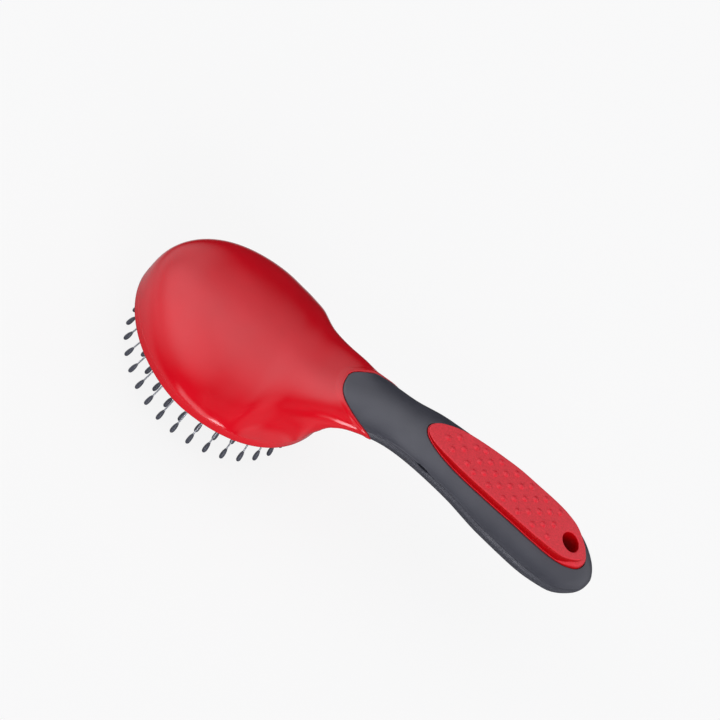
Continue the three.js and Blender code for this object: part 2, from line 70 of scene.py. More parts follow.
def place(x, y, z):
    """A point in millimetres from the middle of the pad, in the frame's metres."""
    return origin + Vector((x, y, z)) / 1000


def linear(hex_colour):
    """sRGB hex to linear RGBA."""
    parts = [int(hex_colour[i:i + 2], 16) / 255 for i in (1, 3, 5)]
    return [c / 12.92 if c <= 0.04045 else ((c + 0.055) / 1.055) ** 2.4 for c in parts] + [1.0]


def add_node(tree, kind, settings=(), **links):
    """One shader node with its settings and its inputs linked or filled."""
    made = tree.nodes.new("ShaderNode" + kind)
    for name, value in dict(settings).items():
        setattr(made, name, value)
    for name, value in links.items():
        numbered = name.startswith("in") and name[2:].isdigit()
        socket = made.inputs[int(name[2:]) if numbered else name.replace("_", " ")]
        if isinstance(value, bpy.types.NodeSocket):
            tree.links.new(value, socket)
        else:
            socket.default_value = value
    return made


camera_data = bpy.data.cameras.new("camera")
camera_data.sensor_width = SENSOR_MM
camera_data.lens = FOCAL_PIXELS * SENSOR_MM / PIXELS
camera_data.clip_end = 20
camera = bpy.data.objects.new("camera", camera_data)
bpy.context.scene.collection.objects.link(camera)
turn = Matrix((CAMERA_RIGHT, [-v for v in CAMERA_DOWN], [-v for v in CAMERA_AHEAD])).transposed()
camera.matrix_world = Matrix.Translation(place(*CAMERA_MM)) @ turn.to_4x4()
bpy.context.scene.camera = camera


def add_sun(name, direction, power, spread_degrees, mirrored=True):
    """A soft panel far away, towards a direction, seen in gloss or not."""
    data = bpy.data.lights.new(name, "SUN")
    data.energy = power
    data.angle = math.radians(spread_degrees)
    lamp = bpy.data.objects.new(name, data)
    bpy.context.scene.collection.objects.link(lamp)
    lamp.rotation_euler = Vector(direction).to_track_quat("Z", "Y").to_euler()
    lamp.visible_glossy = mirrored


add_sun("front_fill", (0.41, -0.88, 0.27), 1.5, 40, mirrored=False)
add_sun("nose_fill", (-0.97, 0.0, 0.26), 0.5, 40, mirrored=False)

world = bpy.data.worlds.new("studio_room")
bpy.context.scene.world = world
world.use_nodes = True
room = world.node_tree
room.nodes.clear()
path = add_node(room, "LightPath")
seen = add_node(room, "Math", {"operation": "MAXIMUM"}, in0=path.outputs["Is Camera Ray"],
                in1=path.outputs["Is Transmission Ray"])
way = add_node(room, "TexCoord").outputs["Generated"]


ROOM_STRENGTH = 0.55


def glow_between(value, low, high, dark, bright):
    """A soft step of brightness as a value goes from low to high."""
    step = add_node(room, "MapRange", {"interpolation_type": "SMOOTHSTEP"}, Value=value)
    for name, number in (("From Min", low), ("From Max", high), ("To Min", dark), ("To Max", bright)):
        step.inputs[name].default_value = number
    return step.outputs["Result"]


def towards(direction):
    return add_node(room, "VectorMath", {"operation": "DOT_PRODUCT"}, in0=way,
                    in1=Vector(direction).normalized()).outputs["Value"]


# what gloss mirrors: soft panels beyond the nose, beyond the tail and overhead, a pale table and its
# bright front edge; straight below the brush the table is darker, a painted shadow of the brush
up = towards((0.0, 0.0, 1.0))
glows = [
    glow_between(towards((-0.85, 0.06, 0.53)), 0.22, 0.74, 0.02, 0.92),
    glow_between(towards((0.73, 0.32, 0.6)), 0.50, 0.83, 0.0, 0.82),
    glow_between(towards((-0.43, -0.22, 0.88)), 0.45, 0.99, 0.0, 0.98),
    glow_between(towards((0.96, -0.2, -0.1)), 0.80, 1.0, 0.0, 0.3),
    glow_between(towards((0.33, -0.88, -0.34)), 0.984, 0.997, 0.0, 9.0),
    glow_between(up, -0.62, -0.34, 0.42, 0.0),
    # painted shadow of the brush: the mirrored table is darker straight below
    glow_between(up, -0.80, -0.66, -0.25, 0.0),
]
edge_up = glow_between(up, -0.48, -0.38, 0.0, 1.0)
edge_down = glow_between(up, -0.20, -0.08, 1.9, 0.0)
edge_side = glow_between(towards((0.0, -0.97, -0.24)), 0.925, 0.975, 0.0, 1.0)
edge_lit = add_node(room, "Math", {"operation": "MULTIPLY"}, in0=edge_up, in1=edge_down)
mirrored = add_node(room, "Math", {"operation": "MULTIPLY"}, in0=edge_lit.outputs[0], in1=edge_side)
for glow in glows:
    mirrored = add_node(room, "Math", {"operation": "ADD"}, in0=mirrored.outputs[0], in1=glow)
strength = add_node(room, "Mix", {"data_type": "FLOAT"}, in0=path.outputs["Is Glossy Ray"],
                    in2=ROOM_STRENGTH, in3=mirrored.outputs[0])
lit = add_node(room, "Background", Color=linear("#FAFAFF"), Strength=strength.outputs[0])
bright = add_node(room, "Background", Color=linear("#F9F9F9"), Strength=1.0)
mixed = add_node(room, "MixShader", in0=seen.outputs[0], in1=lit.outputs[0], in2=bright.outputs[0])
add_node(room, "OutputWorld", Surface=mixed.outputs[0])

bpy.ops.object.select_all(action="DESELECT")
bpy.ops.mesh.primitive_plane_add(size=12, location=(0, 0, 0))
floor = bpy.context.active_object
floor.name = "studio_floor"
floor.visible_glossy = False
paper = bpy.data.materials.new("white_studio_paper")
paper.use_nodes = True
tree = paper.node_tree
tree.nodes.clear()
path = add_node(tree, "LightPath")
matt = add_node(tree, "BsdfDiffuse", Color=linear("#F4F4F4"))
glow = add_node(tree, "Emission", Color=linear("#FFFFFF"), Strength=1.0)
seen = add_node(tree, "Math", {"operation": "MAXIMUM"}, in0=path.outputs["Is Camera Ray"],
                in1=path.outputs["Is Transmission Ray"])
share = add_node(tree, "Math", {"operation": "MULTIPLY"}, in0=seen.outputs[0], in1=0.85)
mixed = add_node(tree, "MixShader", in0=share.outputs[0], in1=matt.outputs[0], in2=glow.outputs[0])
add_node(tree, "OutputMaterial", Surface=mixed.outputs[0])
floor.data.materials.append(paper)
bpy.context.scene.view_settings.view_transform = "Standard"

# ---- back shell --------------------------------------------------------------------------------
# The domed back with its neck is one glossy injection moulding in red ABS plastic. It is drawn as a row
# of sections from the nose to the raked edge where the soft grip begins, and its last rings turn in
# under the grip.
PAD_REAR, PAD_HALF = 49.1, 45.2
FRONT_POWER, REAR_POWER, NOSE_POWER = 1.8, 2.2, 4.1
EDGE_HEIGHT = 4.8
TAIL_END, TAIL_ROUND = 176.9, 14.1
TONGUE_TIP, TONGUE_LENGTH, TONGUE_HALF, TONGUE_RAKE, TONGUE_TOP = 43.9, 12.8, 15.5, 2.1, 31.0
TONGUE_POWER, TONGUE_LAG, BROW_RAKE, BROW = 2.7, 7.8, 0.5, 5.0


def curve(rows):
    """Monotone cubic through [place, size] rows, held flat past both ends."""
    slopes = [(b[1] - a[1]) / (b[0] - a[0]) for a, b in zip(rows, rows[1:])]
    inner = [0 if a * b <= 0 else 2 * a * b / (a + b) for a, b in zip(slopes, slopes[1:])]
    tangents = [slopes[0]] + inner + [slopes[-1]]

    def value(x):
        if x <= rows[0][0]:
            return rows[0][1]
        if x >= rows[-1][0]:
            return rows[-1][1]
        i = next(k for k, row in enumerate(rows) if row[0] > x) - 1
        step = rows[i + 1][0] - rows[i][0]
        t = (x - rows[i][0]) / step
        u = t * t * (3 - 2 * t)
        return (rows[i][1] * (1 - u) + rows[i + 1][1] * u
                + step * (t * (1 - t) ** 2 * tangents[i] - t * t * (1 - t) * tangents[i + 1]))
    return value


def on_front(*rows):
    return [[-t * PAD_FRONT, v] for t, v in rows]


def on_rear(*rows):
    return [[t * PAD_REAR, v] for t, v in rows]


def on_handle(*rows):
    return [[PAD_REAR + t * (TAIL_END - PAD_REAR), v] for t, v in rows]


DOME_CUT, FLARE_CUT, SKIRT_LEAST, FLARE = 4.4, 11.0, 0.4, 0.75
DOME_WAIST = EDGE_HEIGHT + SKIRT_LEAST - DOME_CUT
ridge_square = curve([[x, w * w] for x, w in
                      on_rear((-0.165, 45.14), (0, 45.14), (0.165, 44.2), (0.296, 42.4), (0.593, 28.9), (0.889, 20.6))
                      + on_handle((0.07, 16.1), (0.183, 14.3), (0.295, 15.9), (0.445, 17.7), (0.595, 20.3),
                                  (0.745, 20.7), (0.88, 17.6), (0.97, 9.5))] + [[TAIL_END, 0]])
ridge_height = curve(on_front((1, DOME_WAIST)) + on_rear((0, DOME_WAIST), (0.296, DOME_WAIST), (0.593, 3), (0.889, 13))
                     + on_handle((0.07, 23.6), (0.183, 27.9), (0.295, 30.2), (0.445, 30.3), (0.595, 29.1),
                                 (0.745, 27.7), (0.88, 25.8), (1, 24.6)))
crown = curve(on_front((1, 28.2), (0.5, 29)) + on_rear((0, 29), (0.494, 28.3), (0.988, 32.4))
              + on_handle((0.183, 36.1), (0.375, 38.5), (0.563, 38.9), (0.745, 37.3), (0.895, 34.1), (1, 31.4)))
belly = curve([[PAD_REAR + d, v] for d, v in ((0, EDGE_HEIGHT), (1.9, 12.4), (4.4, 15.6), (9, 16.8))]
              + on_handle((0.183, 20), (0.336, 22.6), (0.523, 20.5), (0.745, 17.2), (0.895, 16.3), (1, 18.9)))
upper_power = curve(on_front((1, 2.7)) + on_rear((0, 2), (0.296, 1.9), (0.593, 2.55), (0.889, 2.9))
                    + on_handle((0.07, 2), (0.183, 1.9)))
dome_foot = curve(on_rear((-0.2, DOME_CUT), (0, DOME_CUT), (0.296, (DOME_CUT + FLARE_CUT) / 2), (0.45, FLARE_CUT),
                          (0.6, FLARE_CUT), (0.889, 4.5), (1.06, 0)))


def ease(a, b, x):
    """Smooth step from 0 at a to 1 at b."""
    t = min(1.0, max(0.0, (x - a) / (b - a)))
    return t * t * (3 - 2 * t)


def rounded(t, power):
    return max(0.0, 1 - min(1.0, abs(t)) ** power) ** (1 / power)


RIM_STEP = 0.06


def oval_half(x):
    """Half the width of the back's rim, which stands a step inside the frame's outer edge."""
    end = (PAD_FRONT if x < 0 else PAD_REAR) - RIM_STEP
    return (PAD_HALF - RIM_STEP) * rounded(x / end, FRONT_POWER if x < 0 else REAR_POWER)


def sizes_at(x):
    """Width and height of the widest line, top, roundness, the dome's starting angle, half-width and height at its
    foot, rim and lower edge at x.
    """
    nose = rounded(x / (PAD_FRONT - RIM_STEP), NOSE_POWER) if x < 0 else 1.0
    tail = rounded(max(0.0, x - TAIL_END + TAIL_ROUND) / (TAIL_ROUND + 0.15), 2.4)
    waist, power = ridge_height(x), upper_power(x)
    foot = waist + dome_foot(x)
    top = max(waist + max(0.3, (crown(x) - waist) * nose * tail), foot + 0.3)
    start = math.asin(((foot - waist) / (top - waist)) ** (power / 2))
    side = max(0.4, oval_half(x) if x < 0 else math.sqrt(max(0.0, ridge_square(x))))
    width = side / math.cos(start) ** (2 / power)
    rim = oval_half(x) if x < PAD_REAR else 0.0
    edge = EDGE_HEIGHT if x < PAD_REAR else waist - max(0.3, (waist - belly(x)) * tail)
    return width, waist, top, power, start, side, foot, rim, edge


def upper_point(x, angle):
    """Skin above the dome's foot: angle 0 on the +Y side, half a turn on the -Y side."""
    width, waist, top, power, start = sizes_at(x)[:5]
    angle = start + angle * (1 - 2 * start / math.pi)
    c, s = math.cos(angle), abs(math.sin(angle))
    return Vector((x, width * math.copysign(abs(c) ** (2 / power), c), waist + (top - waist) * s ** (2 / power)))


def lower_point(x, way, t):
    """Skin below the dome's foot on one side: t is 0 at the foot and 1 at the lower edge or the belly."""
    width, waist, top, power, start, side, foot, rim, edge = sizes_at(x)
    lean = width / (top - waist) * math.tan(start) ** (2 - 2 / power)
    drop = FLARE * (foot - edge)
    reach = min(lean * drop, max(0.0, rim - side))
    u, a, head = 1 - t, t * math.pi / 2, 1 - ease(PAD_REAR - 1.6, PAD_REAR + 8, x)
    flared = (u * u * side + 2 * u * t * (side + reach) + t * t * rim,
              u * u * foot + 2 * u * t * (foot - drop) + t * t * edge)
    y = flared[0] * head + side * math.cos(a) * (1 - head)
    z = flared[1] * head + (foot - (foot - edge) * math.sin(a)) * (1 - head)
    return Vector((x, way * y, z))


def grip_edge(y, z):
    """Where the soft grip begins on the skin, at this y and z: on the far side it runs back faster."""
    run = TONGUE_LENGTH * (1 - rounded(y / TONGUE_HALF, TONGUE_POWER)) + TONGUE_LAG * ease(0, 8.5, y)
    below = TONGUE_TOP - z
    return TONGUE_TIP + run + TONGUE_RAKE * below + BROW_RAKE * min(BROW, below)


def edge_on(skin_line):
    """The x at which a line along the skin meets the grip's edge, sought from behind."""
    x = 100.0
    while x > 35 and x - grip_edge(*skin_line(x)[1:]) > 0:
        x -= 0.5
    low, high = x, x + 0.5
    for _ in range(12):
        middle = (low + high) / 2
        if middle - grip_edge(*skin_line(middle)[1:]) > 0:
            high = middle
        else:
            low = middle
    return (low + high) / 2


def sunk(point, depth):
    """The point moved in from the skin, towards the middle of its section."""
    middle = Vector((point.x, 0.0, ridge_height(point.x)))
    inward = middle - point
    return point + inward * (depth / max(inward.length, depth, 1e-6))


def wrapped_skin(name, rings, closed_rows=False):
    """A grid with a row for each ring, laid round the rings and welded where they meet."""
    rows = rings + [rings[0]] if closed_rows else rings
    bpy.ops.object.select_all(action="DESELECT")
    bpy.ops.mesh.primitive_grid_add(x_subdivisions=len(rows[0]), y_subdivisions=len(rows) - 1, size=1)
    piece = bpy.context.active_object
    piece.name = name
    points = [place(*ring[k % len(ring)]) for ring in rows for k in range(len(ring) + 1)]
    assert len(points) == len(piece.data.vertices), name
    piece.data.vertices.foreach_set("co", [c for p in points for c in p])
    bpy.ops.object.mode_set(mode="EDIT")
    bpy.ops.mesh.select_all(action="SELECT")
    bpy.ops.mesh.remove_doubles(threshold=2e-7)
    bpy.ops.mesh.normals_make_consistent(inside=False)
    bpy.ops.object.mode_set(mode="OBJECT")
    return piece


def pole(ring):
    """A ring drawn together in its middle, which closes an end."""
    middle = sum(ring, Vector()) / len(ring)
    return [middle] * len(ring)


def spaced(start, stop, step):
    count = max(1, math.ceil((stop - start) / step))
    return [start + (stop - start) * i / count for i in range(count + 1)]


ARC_STEPS, SKIRT_STEPS = 64, 9
SMOOTH_BELOW = math.radians(40)
skin_lines = [lambda x, a=math.pi * i / ARC_STEPS: upper_point(x, a) for i in range(ARC_STEPS + 1)]
skin_lines += [lambda x, t=j / SKIRT_STEPS: lower_point(x, -1, t) for j in range(1, SKIRT_STEPS + 1)]
skin_lines += [lambda x: Vector((x, 0.0, sizes_at(x)[8]))]
skin_lines += [lambda x, t=j / SKIRT_STEPS: lower_point(x, 1, t) for j in range(SKIRT_STEPS, 0, -1)]
line_ends = [edge_on(line) for line in skin_lines]
WARP_START, WARP_STOP, FLAT_TO = 33.0, 66.0, 58.0
EDGE_GAP = 0.12


def along(x, end):
    """A station's place on a line that ends at the grip: squeezed on top, kept square round the heel."""
    if x <= WARP_START:
        return x
    squeezed = WARP_START + (x - WARP_START) * (end - WARP_START) / (WARP_STOP - WARP_START)
    square = x if x <= FLAT_TO else FLAT_TO + (x - FLAT_TO) * (end - FLAT_TO) / (WARP_STOP - FLAT_TO)
    share = ease(50, 62, end)
    return squeezed * (1 - share) + square * share


nose_steps = [0.05, 0.25, 0.6, 1.1, 1.8, 2.7, 3.8, 5, 6.4, 8, 9.7, 11.5, 13.5] + spaced(15.5, 47, 1.75)
stations = ([d + RIM_STEP - PAD_FRONT for d in nose_steps] + spaced(0, 33, 1.5) + spaced(34.5, 43, 1.7)
            + [PAD_REAR + d for d in (-4.6, -3, -1.8, -0.9, -0.35, -0.05, 0.1, 0.5, 1.1, 1.9, 2.9, 4.2, 5.8, 7.6, 9.6)]
            + spaced(60.5, WARP_STOP, 1.8))
LIP_BACK, LIP_RISE = 3.6, 0.42
shell_rings = [[line(along(x, end - EDGE_GAP - LIP_BACK)) for line, end in zip(skin_lines, line_ends)]
               for x in stations]
# a low lip rises all round before the grip, then the edge is rounded and turns in under the grip
for ahead in (3.2, 2.8, 2.4, 2.0, 1.6, 1.2, 0.8, 0.5):
    rise = LIP_RISE * ease(0, 1, (LIP_BACK - ahead) / (LIP_BACK - 1.2))
    shell_rings.append([sunk(line(end - EDGE_GAP - ahead), -rise) for line, end in zip(skin_lines, line_ends)])
for ahead, depth in ((0.30, -0.24), (0.14, -0.14), (0.04, 0.06), (0.0, 0.30), (0.0, 0.9), (-6.0, 2.6)):
    shell_rings.append([sunk(line(end - EDGE_GAP - ahead), depth) for line, end in zip(skin_lines, line_ends)])
shell = wrapped_skin("back_shell_skin", [pole(shell_rings[0])] + shell_rings + [pole(shell_rings[-1])])
bpy.ops.object.shade_smooth_by_angle(angle=SMOOTH_BELOW)


def new_material(name):
    """A material with its shader and its object coordinates."""
    made = bpy.data.materials.new(name)
    made.use_nodes = True
    tree = made.node_tree
    return made, tree, tree.nodes["Principled BSDF"], add_node(tree, "TexCoord").outputs["Object"]


def patches(tree, spot, size_mm, low, high, detail=2.0):
    """Soft patches size_mm across, as a value from low to high."""
    cloud = add_node(tree, "TexNoise", Vector=spot, Scale=1000 / size_mm, Detail=detail)
    return add_node(tree, "MapRange", Value=cloud.outputs[0], From_Min=0.3, From_Max=0.7, To_Min=low,
                    To_Max=high).outputs["Result"]


def blend(tree, share, first, second):
    return add_node(tree, "Mix", {"data_type": "RGBA"}, in0=share, in6=first, in7=second).outputs[2]


def feed(tree, shader, **links):
    for name, socket in links.items():
        tree.links.new(socket, shader.inputs[name.replace("_", " ")])


red_abs, tree, skin_shader, spot = new_material("moulded_red_abs")
skin_shader.inputs["IOR"].default_value = 1.54
# melt flow: the pigment varies a little over 22 mm, so that the large dome isn't one flat red
flow = blend(tree, patches(tree, spot, 22, 0.0, 1.0), linear("#DA081C"), linear("#E40A20"))
# handling: patches of 7 mm where the polish is a little duller, which softens the mirrored panels
polish = patches(tree, spot, 7, 0.11, 0.15)
# orange peel: waves 0.004 mm deep, which make the edges of the reflections waver. The real ones are
# about 0.8 mm long, too fine to show, and so they are drawn at 1.6 mm
peel = add_node(tree, "Bump", Height=patches(tree, spot, 1.6, 0.0, 1.0, 0.0), Strength=1.0, Distance=0.000004)
feed(tree, skin_shader, Base_Color=flow, Roughness=polish, Normal=peel.outputs[0])
shell.data.materials.append(red_abs)
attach(shell, "brush")
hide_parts("back_shell")

# ---- front frame -------------------------------------------------------------------------------
# The oval frame is a second red moulding, pressed into the back's edge. Its lip holds the cushion's
# bead, and its rounded outer edge stands a little proud of the back.
FRAME_HEIGHT, FRAME_LIP, LIP_HEIGHT, FRAME_SIDE = 4.5, 5.0, 1.6, 2.6
OVAL_STEPS, OVAL_FINE = 160, 1440


def oval_ring(inset, height, count=OVAL_STEPS):
    """A ring round the head's outline, drawn in by inset, with points at equal steps from +X."""
    fine = []
    for i in range(OVAL_FINE + 1):
        a = i * math.pi / (OVAL_FINE / 2)
        c, s = math.cos(a), math.sin(a)
        power, end = (FRONT_POWER, PAD_FRONT) if c < 0 else (REAR_POWER, PAD_REAR)
        fine.append(((end - inset) * math.copysign(abs(c) ** (2 / power), c),
                     (PAD_HALF - inset) * math.copysign(abs(s) ** (2 / power), s)))
    run = [0.0]
    for p, q in zip(fine, fine[1:]):
        run.append(run[-1] + math.hypot(q[0] - p[0], q[1] - p[1]))
    ring, i = [], 1
    for k in range(count):
        goal = run[-1] * k / count
        while run[i] < goal:
            i += 1
        t = (goal - run[i - 1]) / (run[i] - run[i - 1])
        x, y = (a + t * (b - a) for a, b in zip(fine[i - 1], fine[i]))
        ring.append(Vector((x, y, height(x, y) if callable(height) else height)))
    return ring


frame_profile = [(0.0, 1.0), (0.0, 2.4), (0.0, 3.8), (0.0, 4.6), (0.02, 4.72), (0.07, 4.77), (0.2, 4.79), (0.6, 4.79),
                 (FRAME_SIDE, 4.79),
                 (FRAME_SIDE, LIP_HEIGHT), (FRAME_LIP, LIP_HEIGHT), (FRAME_LIP, 0.5), (FRAME_LIP - 0.12, 0.16),
                 (FRAME_LIP - 0.4, 0.0), (2.6, 0.0), (1.0, 0.0), (0.45, 0.12), (0.12, 0.45)]
front = wrapped_skin("front_frame_ring", [oval_ring(*point) for point in frame_profile], closed_rows=True)
bpy.ops.object.shade_smooth_by_angle(angle=SMOOTH_BELOW)
front.data.materials.append(red_abs)
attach(front, "brush")
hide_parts("front_frame")

# ---- air cushion -------------------------------------------------------------------------------
# The cushion is a domed black rubber membrane. Its bead sits in the frame, it is drawn in round the bed
# of pins, and a small hole in the middle lets the air out.
CUSHION_CROWN, CUSHION_CURVE, CUSHION_WALL, BED_THICK = 3.0, 240.0, 2.0, 1.2
BED_INSET, PRESS_ROOM, BEAD_FOOT, BEAD_SIDE, THROAT, GAP = 8.4, 0.4, 1.9, 2.9, 5.3, 0.3
VENT_RADIUS = 1.5


def round_ring(radius, height, count=96):
    """A round ring about the middle, in step with the oval rings."""
    ring = [(radius * math.cos(2 * math.pi * k / count), radius * math.sin(2 * math.pi * k / count))
            for k in range(count)]
    return [Vector((x, y, height(x, y))) for x, y in ring]


def dome(lift):
    return lambda x, y: (x * x + y * y) / (2 * CUSHION_CURVE) - CUSHION_CROWN + lift


behind, bed_edge = BED_THICK + GAP, BED_INSET - PRESS_ROOM
cushion_profile = [(36.0, dome(behind)), (26.0, dome(behind)), (17.0, dome(behind)), (bed_edge + 0.3, dome(behind)),
                   (bed_edge, dome(behind - 0.3)), (bed_edge, dome(0.4)), (bed_edge - 0.12, dome(0.1)),
                   (bed_edge - 0.4, dome(0)), (THROAT + 1.6, dome(0)), (THROAT + 0.9, dome(0.15)),
                   (THROAT + 0.45, dome(0.45)), (THROAT + 0.15, dome(0.9)), (THROAT, dome(1.4)),
                   (THROAT, BEAD_FOOT), (BEAD_SIDE, BEAD_FOOT), (BEAD_SIDE, FRAME_HEIGHT), (THROAT + 0.6, FRAME_HEIGHT)]
cushion_profile += [(inset, dome(behind + CUSHION_WALL)) for inset in (bed_edge + 1, 17.0, 26.0, 36.0)]
cushion_rings = [oval_ring(*point, 96) for point in cushion_profile]
for radius, lift in ((4.5, behind + CUSHION_WALL), (VENT_RADIUS + 0.3, behind + CUSHION_WALL),
                     (VENT_RADIUS, behind + CUSHION_WALL - 0.3), (VENT_RADIUS, behind + 0.2),
                     (VENT_RADIUS + 0.2, behind), (4.5, behind)):
    cushion_rings.append(round_ring(radius, dome(lift)))
cushion = wrapped_skin("cushion_membrane", cushion_rings, closed_rows=True)
bpy.ops.object.shade_smooth_by_angle(angle=SMOOTH_BELOW)

black_rubber, tree, skin_shader, spot = new_material("moulded_black_rubber")
# bloom: the grey haze of natural rubber, in patches of 9 mm
haze = blend(tree, patches(tree, spot, 9, 0.0, 1.0), linear("#151517"), linear("#232326"))
# the mould's blasted face: grain of 0.6 mm, 0.02 mm deep, which breaks up the gloss
grain = add_node(tree, "Bump", Height=patches(tree, spot, 0.6, 0.0, 1.0), Strength=1.0, Distance=0.00002)
feed(tree, skin_shader, Base_Color=haze, Roughness=patches(tree, spot, 5, 0.52, 0.68), Normal=grain.outputs[0])
cushion.data.materials.append(black_rubber)
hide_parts("air_cushion")
tuple(place(0, 0, FRAME_HEIGHT))
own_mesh(cushion)
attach(cushion, "brush")

# ---- pins --------------------------------------------------------------------------------------
# The outer layer of the cushion carries thin steel wires, each with a dark moulded drop on its end that
# spares the skin. They stand in oval rings and lean out with the dome.
PIN_LENGTH, WIRE_RADIUS, TIP_LENGTH, TIP_RADIUS = 23.6, 0.36, 6.5, 1.05
RING_INSET, RING_PITCH, PIN_PITCH = 9.8, 7.9, 7.25

bed_profile = [(36.0, dome(BED_THICK)), (26.0, dome(BED_THICK)), (17.0, dome(BED_THICK)),
               (BED_INSET + 0.3, dome(BED_THICK)), (BED_INSET, dome(BED_THICK - 0.3)), (BED_INSET, dome(0.35)),
               (BED_INSET + 0.1, dome(0.1)), (BED_INSET + 0.35, dome(0)), (14.0, dome(0)), (20.0, dome(0)),
               (26.0, dome(0)), (36.0, dome(0))]
bed_rings = [oval_ring(*point, 96) for point in bed_profile]
for radius, lift in ((4.5, 0), (VENT_RADIUS + 0.4, 0), (VENT_RADIUS + 0.1, 0.08), (VENT_RADIUS, 0.35),
                     (VENT_RADIUS, BED_THICK), (4.5, BED_THICK)):
    bed_rings.append(round_ring(radius, dome(lift)))
bed = wrapped_skin("pin_layer", bed_rings, closed_rows=True)
bpy.ops.object.shade_smooth_by_angle(angle=SMOOTH_BELOW)
bed.data.materials.append(black_rubber)
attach(bed, "pin_bed")


def pin_places():
    """Where the pins stand: rings drawn in from the outline, each with a multiple of four pins."""
    inset = RING_INSET
    while inset < PAD_HALF - 2.5:
        ring = oval_ring(inset, 0.0, 90)
        length = sum((a - b).length for a, b in zip(ring, ring[1:] + ring[:1]))
        yield from oval_ring(inset, dome(0), 4 * max(1, round(length / PIN_PITCH / 4)))
        inset += RING_PITCH


def turned_part(name, profile, sides):
    """A thin part round its own axis, from [distance down, radius] points, standing at the origin."""
    bpy.ops.object.select_all(action="DESELECT")
    bpy.ops.mesh.primitive_grid_add(x_subdivisions=sides, y_subdivisions=len(profile) - 1, size=1)
    part = bpy.context.active_object
    part.name = name
    points = []
    for down, radius in profile:
        for k in range(sides + 1):
            a = 2 * math.pi * (k % sides) / sides
            points += [radius * math.cos(a) / 1000, radius * math.sin(a) / 1000, -down / 1000]
    part.data.vertices.foreach_set("co", points)
    bpy.ops.object.mode_set(mode="EDIT")
    bpy.ops.mesh.select_all(action="SELECT")
    bpy.ops.mesh.remove_doubles(threshold=1e-7)
    bpy.ops.mesh.normals_make_consistent(inside=False)
    bpy.ops.object.mode_set(mode="OBJECT")
    return part


def set_out(pattern, name):
    """Copies of a pattern, one for each pin, each with its own mesh, joined to one piece."""
    copies = []
    for base in pin_places():
        away = Vector((base.x / CUSHION_CURVE, base.y / CUSHION_CURVE, -1)).normalized()
        copy = bpy.data.objects.new(name, pattern.data.copy())
        bpy.context.scene.collection.objects.link(copy)
        copy.data.transform(Matrix.Translation(place(*base)) @ away.to_track_quat("-Z", "Y").to_matrix().to_4x4())
        copies.append(copy)
    bpy.ops.object.select_all(action="DESELECT")
    for copy in copies:
        copy.select_set(True)
    bpy.context.view_layer.objects.active = copies[0]
    bpy.ops.object.join()
    bpy.data.objects.remove(pattern)
    bpy.ops.object.shade_smooth_by_angle(angle=math.radians(50))
    return copies[0]


TIP_CUT = 0.5
shank = PIN_LENGTH - TIP_LENGTH - TIP_CUT
wire_profile = [(-0.5, 0), (-0.5, WIRE_RADIUS), (shank / 2, WIRE_RADIUS), (shank + 1.5, WIRE_RADIUS), (shank + 1.5, 0)]
wires = set_out(turned_part("wire_pattern", wire_profile, 10), "pin_wires")
tip_profile = [(shank, 0), (shank, 0.45), (shank + 0.4, 0.55), (shank + 1.1, 0.75), (shank + 2.0, 0.93),
               (shank + 3.0, 1.02), (shank + 4.1, TIP_RADIUS), (shank + 5.1, 1.0), (shank + 5.8, 0.83),
               (shank + 6.25, 0.5), (shank + 6.5, 0)]
tips = set_out(turned_part("tip_pattern", tip_profile, 12), "pin_tips")

steel, tree, skin_shader, spot = new_material("drawn_steel_wire")
skin_shader.inputs["Metallic"].default_value = 1.0
# drawing marks: fine streaks along the wire, 0.15 mm apart and 5 mm long, which spread the gloss sideways
along_wire = add_node(tree, "Mapping", Vector=spot, Scale=(1.0, 1.0, 0.03)).outputs[0]
feed(tree, skin_shader, Roughness=patches(tree, along_wire, 0.15, 0.22, 0.38),
     Base_Color=blend(tree, patches(tree, along_wire, 0.15, 0.0, 1.0), linear("#B8BBC3"), linear("#D2D4DA")))
wires.data.materials.append(steel)
drop_resin, tree, skin_shader, spot = new_material("moulded_grey_nylon")
# each drop's shade varies a little, over 4 mm, as the pigment in a small shot does
shade = blend(tree, patches(tree, spot, 4, 0.0, 1.0), linear("#3F424C"), linear("#4C4F5A"))
# the mould's matt face: grain of 0.4 mm, 0.01 mm deep
grain = add_node(tree, "Bump", Height=patches(tree, spot, 0.4, 0.0, 1.0), Strength=1.0, Distance=0.00001)
feed(tree, skin_shader, Base_Color=shade, Roughness=patches(tree, spot, 2, 0.32, 0.44), Normal=grain.outputs[0])
tips.data.materials.append(drop_resin)
for piece in (wires, tips):
    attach(piece, "pin_bed")
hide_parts("pin_field_front", "pin_field_middle", "pin_field_rear")

# ---- soft grip ---------------------------------------------------------------------------------
# The grip is a dark soft thermoplastic rubber, moulded over the core in two halves with a seam along
# each side and a short slot in it. The upper half has a shallow recess for the thumb insert.
SEAM_RISE, SEAM_GAP = 1.8, 0.1
NOTCH_X, NOTCH_LENGTH, NOTCH_HEIGHT, NOTCH_DEPTH = 89.7, 6.4, 0.8, 1.4
INSERT_END, INSERT_LENGTH = 169.3, 87.3
INSERT_TIP = INSERT_END - INSERT_LENGTH
RECESS_GAP, RECESS_DEPTH = 0.28, 1.2
BEAD_RISE = 0.12
insert_square = curve([[INSERT_TIP, 0]] + [[INSERT_TIP + t * INSERT_LENGTH, w * w] for t, w in (
    (0.029, 4.6), (0.072, 6.7), (0.137, 8.6), (0.227, 10.1), (0.359, 11.3), (0.512, 12.0), (0.667, 12.0),
    (0.767, 11.6), (0.813, 11.1), (0.855, 10.4), (0.885, 9.7), (0.919, 8.6), (0.945, 7.4), (0.974, 5.5))]
    + [[INSERT_END, 0]])


def insert_half(x):
    return math.sqrt(max(0.0, insert_square(x)))


def notch(x):
    """Half the height of the slot in the seam at x."""
    return NOTCH_HEIGHT / 2 * max(0.0, 1 - ((x - NOTCH_X) / (NOTCH_LENGTH / 2)) ** 2) ** 0.5


